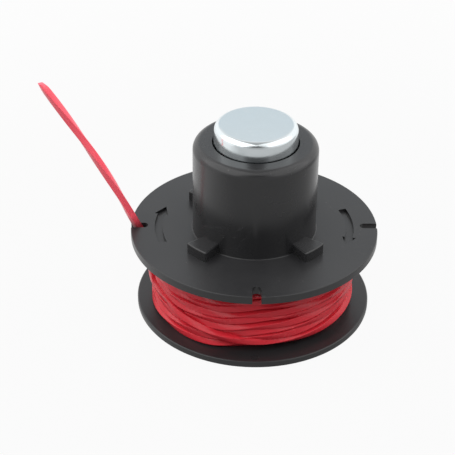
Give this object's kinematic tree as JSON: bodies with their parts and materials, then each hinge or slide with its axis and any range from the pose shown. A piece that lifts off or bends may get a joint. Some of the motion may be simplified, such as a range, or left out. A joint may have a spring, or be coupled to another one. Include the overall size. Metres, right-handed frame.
{
  "type": "trimmer line spool",
  "caption": "Black flanged spool with a tall hub, steel bump cap, stop lugs and rim notches, wound with red nylon line; it stores and feeds line in a bump-feed trimmer head.",
  "frame": {"origin": "centre of the lower flange's underside, on which the spool stands", "axes": "+Z along the spool axis towards the bump cap; the line's free end leans to -X and the notches lie on X and Y"},
  "size_m": [0.107, 0.08, 0.0799],
  "materials": {
    "black_plastic": "semi-matt moulded black",
    "zinc_steel": "bright zinc plate",
    "red_line": "satin extruded nylon"
  },
  "bodies": {
    "root": {"spool_body": "black_plastic", "bump_cap": "zinc_steel", "line_winding": "red_line", "line_tail": "red_line"}
  },
  "joints": []
}
